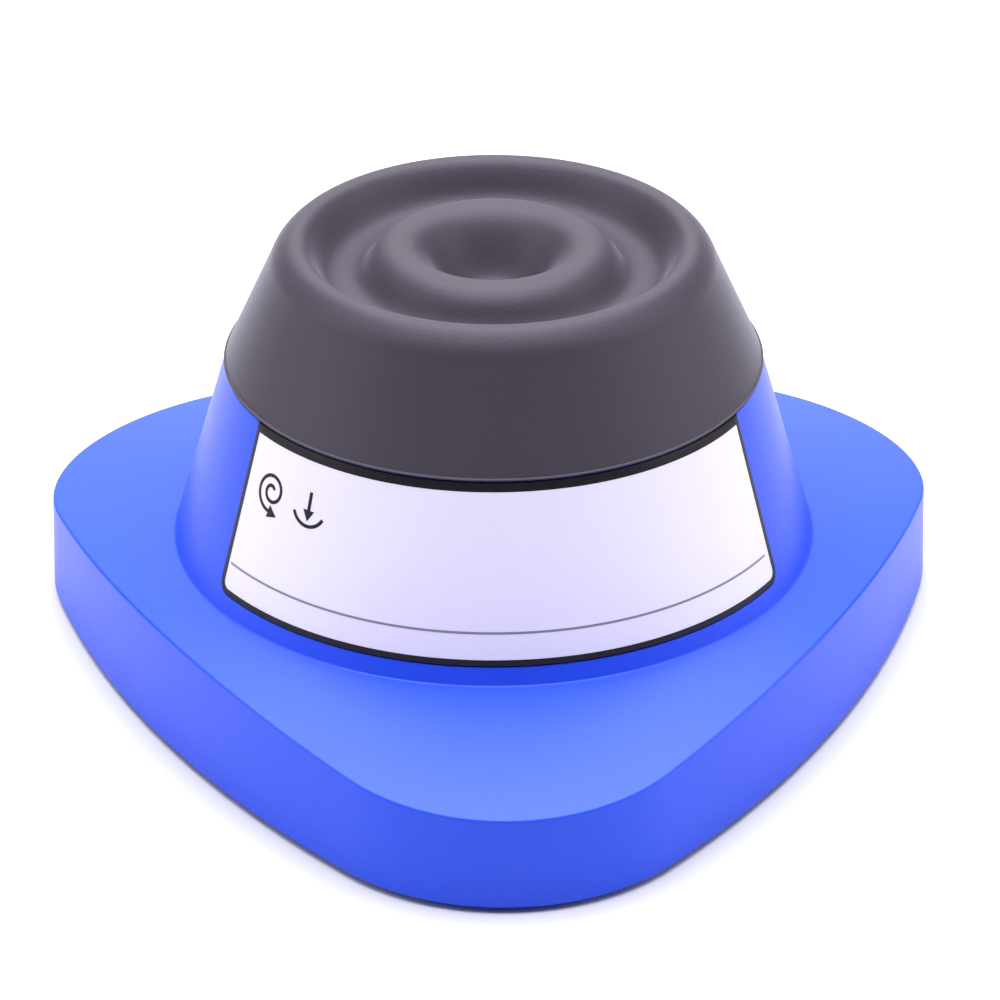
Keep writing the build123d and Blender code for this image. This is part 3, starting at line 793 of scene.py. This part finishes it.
@dataclass
class Label:
    """The printed label in its recess: film, black border, grey rule and two plain pictograms."""

    cone: BodyCone
    outline: LabelOutline
    proud: float = 0.15
    depth: float = 0.45
    ink: float = 0.02
    border: tuple = (1.0, 0.9, 1.28)
    rule_z: float = 29.5
    rule_width: float = 0.36
    orbit_at: tuple = (-50.6, 42.9)
    press_at: tuple = (-40.3, 42.1)

    def film(self) -> Shape:
        """The label itself: its face, then its edge turned back and its back, as rings inside its outline.

        Each ring is the outline drawn in by a distance; a point of the face moves from the ring to the
        middle line of the label in equal steps, so that the face has no loose middle.

        Returns:
            The shape.
        """
        steps = 60
        rings = []
        for inset, proud in ((0.14, -self.depth + self.proud), (0.07, -self.depth + self.proud + 0.05),
                             (0.07, self.proud - 0.08), (0.09, self.proud - 0.02), (0.14, self.proud)):
            edge = self.outline.edge((inset,) * 3, steps, self.cone)
            rings.append(self.cone.point(edge[:, 0], edge[:, 1], proud))
        edge = self.outline.edge((0.14,) * 3, steps, self.cone)
        middle = np.stack([edge[:, 0], np.full(len(edge), (self.outline.low + self.outline.high) / 2)], 1)
        t = np.linspace(0, 1, 12)[1:, None, None]
        face = edge[None] * (1 - t) + middle[None] * t
        front = self.cone.point(face[..., 0], face[..., 1], self.proud)
        back = self.cone.point(face[::-1, :, 0], face[::-1, :, 1], -self.depth + self.proud)
        return Shape.grid(np.concatenate([back, np.stack(rings), front]))

    def stroke(self, path: np.ndarray, width: np.ndarray, middle: tuple, closed: bool = False) -> Shape:
        """A printed line of ink: a flat bar carried along a path, half its width to each side.

        Args:
            path: Points of the line, across and up, in millimetres.
            width: The line's width at each point.
            middle: Azimuth and height of the drawing's origin.
            closed: Whether the line joins its own start.

        Returns:
            The shape.
        """
        if closed:
            along = np.roll(path, -1, axis=0) - np.roll(path, 1, axis=0)
        else:
            along = np.gradient(path, axis=0)
        along = along / np.linalg.norm(along, axis=1, keepdims=True)
        side = np.stack([-along[:, 1], along[:, 0]], axis=1) * np.asarray(width)[..., None] / 2
        section = [(path + side, 0.0), (path - side, 0.0), (path - side, 1.0), (path + side, 1.0)]
        grid = np.stack([self.cone.patch(flat, middle, self.proud - 0.01 + lift * (self.ink + 0.01))
                         for flat, lift in section])
        shape = Shape.grid(grid, wrap_rows=True, wrap_columns=closed)
        if not closed:
            count = len(path)
            shape.faces += [[0, count, 2 * count, 3 * count],
                            [4 * count - 1, 3 * count - 1, 2 * count - 1, count - 1]]
        return shape

    def frame_lines(self) -> Shape:
        """The black border: the band between the label's outline and the same outline drawn in.

        Its outer side is turned down over the film's edge.

        Returns:
            The shape.
        """
        steps = 60
        low, high = self.proud - 0.01, self.proud + self.ink
        inner = self.outline.edge(self.border, steps, self.cone)
        rings = [(0.06, 0.03 - self.depth), (0.0, 0.1 - self.depth), (0.0, high - 0.07),
                 (0.02, high - 0.02), (0.07, high)]
        outer = [(self.outline.edge((inset,) * 3, steps, self.cone), lift) for inset, lift in rings]
        grid = np.stack([self.cone.point(edge[:, 0], edge[:, 1], lift)
                         for edge, lift in [*outer, (inner, high), (inner, low)]])
        return Shape.grid(grid, wrap_rows=True, wrap_columns=True)

    def rule(self, start: float, end: float) -> Shape:
        """A thin level rule round the label, between two azimuths in degrees."""
        arc = np.radians(np.linspace(start, end, 80)) * self.cone.radius(self.rule_z)
        path = np.stack([arc, np.zeros(80)], axis=1)
        return self.stroke(path, np.full(80, self.rule_width), (0.0, self.rule_z))

    def orbit_mark(self) -> Shape:
        """A round arrow for the cup's motion: a spiral that opens evenly and ends in a flat arrow head.

        Returns:
            The shape.
        """
        turn = np.linspace(0, 3.3 * np.pi, 90)
        radius = 0.55 + 2.55 * (turn / turn[-1])
        spin = turn + 0.2 * np.pi
        body = np.stack([radius * np.cos(spin), radius * np.sin(spin)], axis=1)
        ahead = body[-1] - body[-3]
        ahead = ahead / np.linalg.norm(ahead)
        head = body[-1] + ahead * np.linspace(0.01, 1.9, 6)[:, None]
        width = np.concatenate([np.full(90, 0.55), np.linspace(2.1, 0.04, 6)])
        return self.stroke(np.vstack([body, head]), width, self.orbit_at)

    def press_mark(self) -> Shape:
        """A downward arrow over a shallow cup, for pressing a tube down to start it.

        Returns:
            The shape.
        """
        down = np.concatenate([np.linspace(3.4, 0.6, 8), np.linspace(0.59, -1.1, 6)])
        stem = np.stack([np.zeros(14), down], axis=1)
        width = np.concatenate([np.full(8, 0.6), np.linspace(2.1, 0.04, 6)])
        sweep = np.linspace(-0.36 * np.pi, 0.36 * np.pi, 40) - np.pi / 2
        cup = np.stack([3.0 * np.cos(sweep), 1.15 + 3.0 * np.sin(sweep)], axis=1)
        return (self.stroke(stem, width, self.press_at)
                + self.stroke(cup, np.full(40, 0.55), self.press_at))

    def build(self) -> None:
        """Makes the film and its print."""
        set_out(self.film().piece("label_film"), "label_print", "housing", "label_plate")
        set_out(self.frame_lines().piece("label_border"), "label_print", "housing", finish=BLACK_INK)
        rules = self.rule(-57.7, 57.0).piece("label_rule")
        set_out(rules, "label_print", "housing", finish=GREY_INK)
        marks = (self.orbit_mark() + self.press_mark()).piece("label_pictograms")
        set_out(marks, "label_print", "housing", finish=BLACK_INK)


# ---- rubber cap -----------------------------------------------------------------------------


@dataclass
class RubberCap:
    """The charcoal cap: skirt, broad lip, groove, raised ring and cup, all turned about one axis."""

    bottom_z: float = 51.35
    side_z: float = 51.7
    side_radius: float = 41.2
    bead_radius: float = 41.5
    shoulder: tuple = (34.5, 66.4)
    under_hub: float = 58.8
    under_ring: float = 62.0
    hub_radius: float = 11.3
    skirt_inner: float = 37.9
    snap_radius: float = 36.0
    plate_z: float = 53.4
    bowl_z: float = 60.4
    crown: tuple = (
        (33.7, 68.2), (32.45, 69.8), (31.3, 70.65), (30.2, 70.94), (29.05, 70.68), (28.0, 69.7),
        (26.8, 67.8), (25.4, 65.9), (23.8, 65.1), (22.3, 65.0), (20.7, 65.5), (19.2, 67.2), (18.2, 68.6),
        (17.2, 69.5), (15.9, 70.1), (14.4, 70.25), (12.9, 70.0), (11.6, 69.35), (10.4, 68.2),
        (9.1, 66.4), (7.8, 64.35), (6.6, 62.55), (5.4, 61.3), (4.0, 60.7), (2.0, 60.45))

    def skirt(self, z: float) -> float:
        """Inner radius of the skirt at a height."""
        fall = (self.side_radius - self.shoulder[0]) / (self.shoulder[1] - self.side_z)
        return self.skirt_inner - fall * (z - self.side_z)

    def profile(self) -> np.ndarray:
        """Half section of the cap: out from the middle of the underside, down the skirt and up its outside.

        From the shoulder it goes over the crown to the middle of the cup as one smooth spline.

        Returns:
            The section's points, as radius and height.
        """
        corners = np.array([
            [0.5, self.under_hub], [self.hub_radius, self.under_hub], [self.hub_radius, self.under_ring],
            [self.skirt(self.under_ring), self.under_ring], [self.skirt(self.plate_z), self.plate_z],
            [self.snap_radius, self.plate_z], [self.snap_radius, self.bottom_z + 0.6],
            [self.snap_radius + 0.6, self.bottom_z], [self.bead_radius, self.bottom_z],
            [self.bead_radius, self.side_z - 0.08], [self.side_radius, self.side_z],
            list(self.shoulder), [0.5, self.shoulder[1]]])
        run = np.array([0.03, 0.12, 0.3, 0.5, 0.7, 0.88, 0.97])
        radii = [0.1, 0.3, 0.3, 0.8, 0.3, 0.1, 0.15, 0.15, 0.1, 0.08, 0.08, 0.01, 0.01]
        steps = 7
        walls = rounded_outline(corners, radii, [run] * len(corners), steps)
        up_side = walls[steps:(steps + len(run)) * (len(corners) - 2)]
        points = np.array([self.shoulder, *self.crown, (0.0, self.bowl_z)])
        rise = np.array([self.shoulder[0] - self.side_radius, self.shoulder[1] - self.side_z])
        crown = smooth_line(points, rise, np.array([-1.0, 0.0]), 6)
        return np.vstack([up_side, crown[:-1]])

    def build(self) -> None:
        """Makes the cap."""
        grid = turned(self.profile(), 288)
        cap = Shape.grid(grid, wrap_columns=True, close_start=True, close_end=True)
        cap.points[-2:, :2] = 0.0
        cap.points[-1, 2] = self.bowl_z
        set_out(cap.piece("cap_moulding", math.radians(50)), "charcoal_rubber", "head", "rubber_cap")


# ---- power inlet ----------------------------------------------------------------------------


@dataclass
class PowerInlet:
    """The barrel socket in the rear wall: flange, threaded barrel, bore and a nickel centre pin."""

    z: float = 10.0
    flange_radius: float = 5.5
    flange: float = 1.2
    barrel_radius: float = 4.0
    thread_pitch: float = 0.75
    bore: float = 3.1
    bore_depth: float = 9.5
    thread_depth: float = 0.11
    pin_radius: float = 1.0

    def along_y(self, profile: np.ndarray, columns: int) -> np.ndarray:
        """Turns a (radius, depth) profile about the socket's own axis, depth going out along +Y.

        Args:
            profile: Radius and distance inward from the flange's face, for each point.
            columns: Points round the circle.

        Returns:
            The grid, in millimetres about the housing's axis.
        """
        face = (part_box("power_inlet")[1].y - AXIS[1]) / MM
        spin = np.linspace(0, 2 * np.pi, columns, endpoint=False)[None, :]
        radius, depth = profile[:, :1], profile[:, 1:]
        across, up = radius * np.cos(spin), self.z + radius * np.sin(spin)
        return np.stack([across, face - depth + 0 * spin, up], axis=-1)

    def socket(self) -> Shape:
        """The black body: round flange, barrel with shallow thread rings, and the open bore.

        The thread lowers the barrel's radius by a cosine of the depth, one wave for each pitch.

        Returns:
            The shape.
        """
        end = self.flange + 14.0
        corners = np.array([
            [0.6, self.bore_depth], [self.bore, self.bore_depth], [self.bore, 0.0],
            [self.flange_radius, 0.0], [self.flange_radius, self.flange], [self.barrel_radius, self.flange],
            [self.barrel_radius, end - 3], [4.4, end - 3], [4.4, end], [0.6, end]])
        run = np.linspace(0.02, 0.98, 9)
        ends = np.array([0.2, 0.8])
        barrel = np.linspace(0.01, 0.99, 150)
        runs = [run, run, run, run, run, barrel, ends, run, run, run]
        profile = rounded_outline(corners, [0.05, 0.2, 0.35, 0.4, 0.1, 0.1, 0.1, 0.2, 0.3, 0.05], runs, 6)
        threaded = (profile[:, 0] > self.barrel_radius - 0.01) & (profile[:, 0] < self.barrel_radius + 0.01)
        wave = np.cos(2 * np.pi * profile[:, 1] / self.thread_pitch)
        profile[:, 0] -= threaded * self.thread_depth * (1 + wave)
        return Shape.grid(self.along_y(profile, 96), wrap_rows=True, wrap_columns=True)

    def pin(self) -> Shape:
        """The centre contact, a round-nosed pin in the bore.

        Returns:
            The shape.
        """
        nose = np.linspace(0, np.pi / 2, 10)[:-1]
        rounded = np.stack([self.pin_radius * np.cos(nose), 1.6 - 0.8 * np.sin(nose)], axis=1)
        profile = np.vstack([[self.pin_radius, self.bore_depth + 0.4], rounded, [0.05, 0.8]])
        return Shape.grid(self.along_y(profile, 40), wrap_columns=True, close_start=True, close_end=True)

    def build(self) -> None:
        """Makes the socket and its pin, both facing out."""
        set_out(face_out(self.socket().piece("inlet_socket")), "inlet_black", "housing", "power_inlet")
        set_out(face_out(self.pin().piece("inlet_pin")), "nickel_brass", "housing")


def face_out(thing: bpy.types.Object) -> bpy.types.Object:
    """Turns every face of a closed mesh outward.

    Args:
        thing: The object whose mesh is turned.

    Returns:
        The same object.
    """
    work = bmesh.new()
    work.from_mesh(thing.data)
    bmesh.ops.recalc_face_normals(work, faces=work.faces)
    work.to_mesh(thing.data)
    work.free()
    return thing


# ---- springs --------------------------------------------------------------------------------


@dataclass
class ReturnSpring:
    """A compression spring round a guide post: a wire helix with closed, nearly flat end turns."""

    number: int
    degrees: float
    circle: float = 27.0
    coil: float = 4.1
    wire: float = 0.45
    low: float = 20.0
    high: float = 42.6

    def wire_surface(self) -> Shape:
        """The wire: a circle carried along the helix, square to it.

        The line turns evenly about the post and rises evenly between the end turns, where it rises by
        little more than the wire. Each ring is the circle spanned by the line's sideways and upward
        directions.

        Returns:
            The shape.
        """
        turns, per_turn = 8.5, 36
        t = np.linspace(0, 1, int(turns * per_turn) + 1)
        spin = 2 * np.pi * turns * t
        eased = np.clip((t * turns - 0.85) / (turns - 1.7), 0, 1)
        slow = np.clip(t * turns, 0, 0.85) + np.clip(t * turns - (turns - 0.85), 0, 0.85)
        first, last = self.low + self.wire + 0.02, self.high - self.wire - 0.02
        closed = 2 * self.wire + 0.06
        z = first + closed * slow + (last - first - 1.7 * closed) * eased
        line = np.stack([self.coil * np.cos(spin), self.coil * np.sin(spin), z], axis=1)
        along = np.gradient(line, axis=0)
        along /= np.linalg.norm(along, axis=1, keepdims=True)
        out = np.stack([np.cos(spin), np.sin(spin), 0 * spin], axis=1)
        up = np.cross(along, out)
        around = np.linspace(0, 2 * np.pi, 12, endpoint=False)[None, :, None]
        grid = line[:, None] + self.wire * (np.cos(around) * out[:, None] + np.sin(around) * up[:, None])
        grid = grid + polar(np.array(self.circle), np.radians(self.degrees), np.array(0.0))
        return Shape.grid(grid, wrap_columns=True, close_start=True, close_end=True)

    def build(self) -> None:
        """Makes the spring, in place between the frame and the carriage, and hides the CAD spring it stands for.
        """
        spring = face_out(self.wire_surface().piece(f"spring_{self.number}"))
        FINISHES["spring_steel"].dress(spring)
        x, y = (polar(np.array(self.circle), np.radians(self.degrees), np.array(0.0)) * MM + AXIS)[:2]
        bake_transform(spring)
        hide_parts(f"return_spring_{self.number}")
        log.info("%s: %d faces, between housing and carriage", spring.name, len(spring.data.polygons))


# ---- carried-over nodes, studio and camera --------------------------------------------------


def dress_nodes() -> None:
    """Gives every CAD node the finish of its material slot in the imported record."""
    for part in frame["record"]["subparts"]:
        FINISHES[part["material_slot"]].dress(frame["nodes"][part["node"]])


@dataclass
class Studio:
    """A pale floor, a white wall, and soft boxes above, behind and beside the object.

    Sizes are in metres. Each soft box has a name, a place, its side and its power in watts.
    """

    floor_size: float = 1.1
    floor: str = "#dedee2"
    floor_shade: str = "#dddde1"
    floor_drop: float = 0.00002
    white: str = "#ffffff"
    room_strength: float = 0.03
    wall_strength: float = 1.1
    middle_height: float = 0.03
    boxes: tuple = (
        ("box_above", (0.0, 0.1, 1.0), 1.2, 26.0),
        ("box_behind", (0.0, 0.75, 0.85), 0.9, 3.8),
        ("sweep_behind", (0.0, 1.6, 0.35), 1.6, 8.5),
        ("box_left", (-1.0, -0.1, 0.5), 0.8, 4.2),
        ("box_right", (1.0, -0.1, 0.5), 0.8, 4.2),
    )

    def lay_floor(self) -> None:
        """Lays the floor just under the feet, a flat square that ends before the light falls off."""
        side = np.linspace(-0.5, 0.5, 9) * self.floor_size / MM
        x, y = np.meshgrid(side, side, indexing="xy")
        grid = np.stack([x, y, 0 * x - self.floor_drop / MM], axis=-1)
        ground = Shape.grid(grid).piece("studio_floor")
        # Matt painted board: no reflection, and a tint so slight that it only shows in the shadow.
        Finish("matt_painted_board", self.floor, self.floor_shade, 0.9, drift=300.0, grain=2.0, depth=0.0,
               unevenness=0.02, specular=0.1).dress(ground)

    def light_room(self) -> None:
        """Fills the room with a little even light, and puts a white wall behind everything."""
        world = bpy.data.worlds.new("bright_room")
        bpy.context.scene.world = world
        world.use_nodes = True
        tree = world.node_tree
        tree.nodes.clear()
        seen = add_node(tree, "ShaderNodeLightPath").outputs["Is Camera Ray"]
        fill = add_node(tree, "ShaderNodeBackground", values={
            "Color": linear(self.white), "Strength": self.room_strength})
        wall = add_node(tree, "ShaderNodeBackground", values={
            "Color": linear(self.white), "Strength": self.wall_strength})
        either = add_node(tree, "ShaderNodeMixShader", links={
            0: seen, 1: fill.outputs[0], 2: wall.outputs[0]})
        add_node(tree, "ShaderNodeOutputWorld", links={"Surface": either.outputs[0]})

    def soft_box(self, name: str, place: Sequence[float], size: float, watts: float) -> None:
        """Hangs one square soft box, turned toward the object's middle.

        Args:
            name: The light's name.
            place: Its middle, in metres.
            size: Its side, in metres.
            watts: Its power.
        """
        lamp = bpy.data.lights.new(name, "AREA")
        lamp.shape, lamp.size, lamp.energy = "SQUARE", size, watts
        box = bpy.data.objects.new(name, lamp)
        bpy.context.scene.collection.objects.link(box)
        box.location = place
        toward = Vector((0.0, 0.0, self.middle_height)) - Vector(place)
        box.rotation_euler = toward.to_track_quat("-Z", "Y").to_euler()

    def build(self) -> None:
        """Sets up floor, room and soft boxes."""
        self.lay_floor()
        self.light_room()
        for box in self.boxes:
            self.soft_box(*box)
        bpy.context.scene.view_settings.view_transform = "Standard"


@dataclass
class Camera:
    """A long lens, raised by about 29 degrees and a little left of the nose. Lengths in millimetres."""

    place: tuple = (-18.5, -563.0, 340.7)
    target: tuple = (0.98, 8.15, 25.46)
    lens: float = 149.66
    sensor: float = 36.0
    clip: tuple = (0.01, 20.0)

    def build(self) -> None:
        """Makes the camera the scene's own, with depth of field off."""
        data = bpy.data.cameras.new("studio_camera")
        data.lens, data.sensor_width = self.lens, self.sensor
        data.clip_start, data.clip_end = self.clip
        data.dof.use_dof = False
        camera = bpy.data.objects.new("studio_camera", data)
        bpy.context.scene.collection.objects.link(camera)
        place, target = Vector(self.place) * MM, Vector(self.target) * MM
        camera.location = place
        camera.rotation_euler = (target - place).to_track_quat("-Z", "Y").to_euler()
        bpy.context.scene.camera = camera


def main() -> None:
    """Builds the sub-assemblies in order."""
    logging.basicConfig(level=logging.INFO, format="%(message)s")
    dress_nodes()
    cone, outline = BodyCone(), LabelOutline()
    Housing(cone, outline).build()
    Label(cone, outline).build()
    RubberCap().build()
    PowerInlet().build()
    for number, degrees in enumerate((-90.0, 30.0, 150.0), start=1):
        ReturnSpring(number, degrees).build()
    Studio().build()
    Camera().build()


if __name__ == "__main__":
    main()
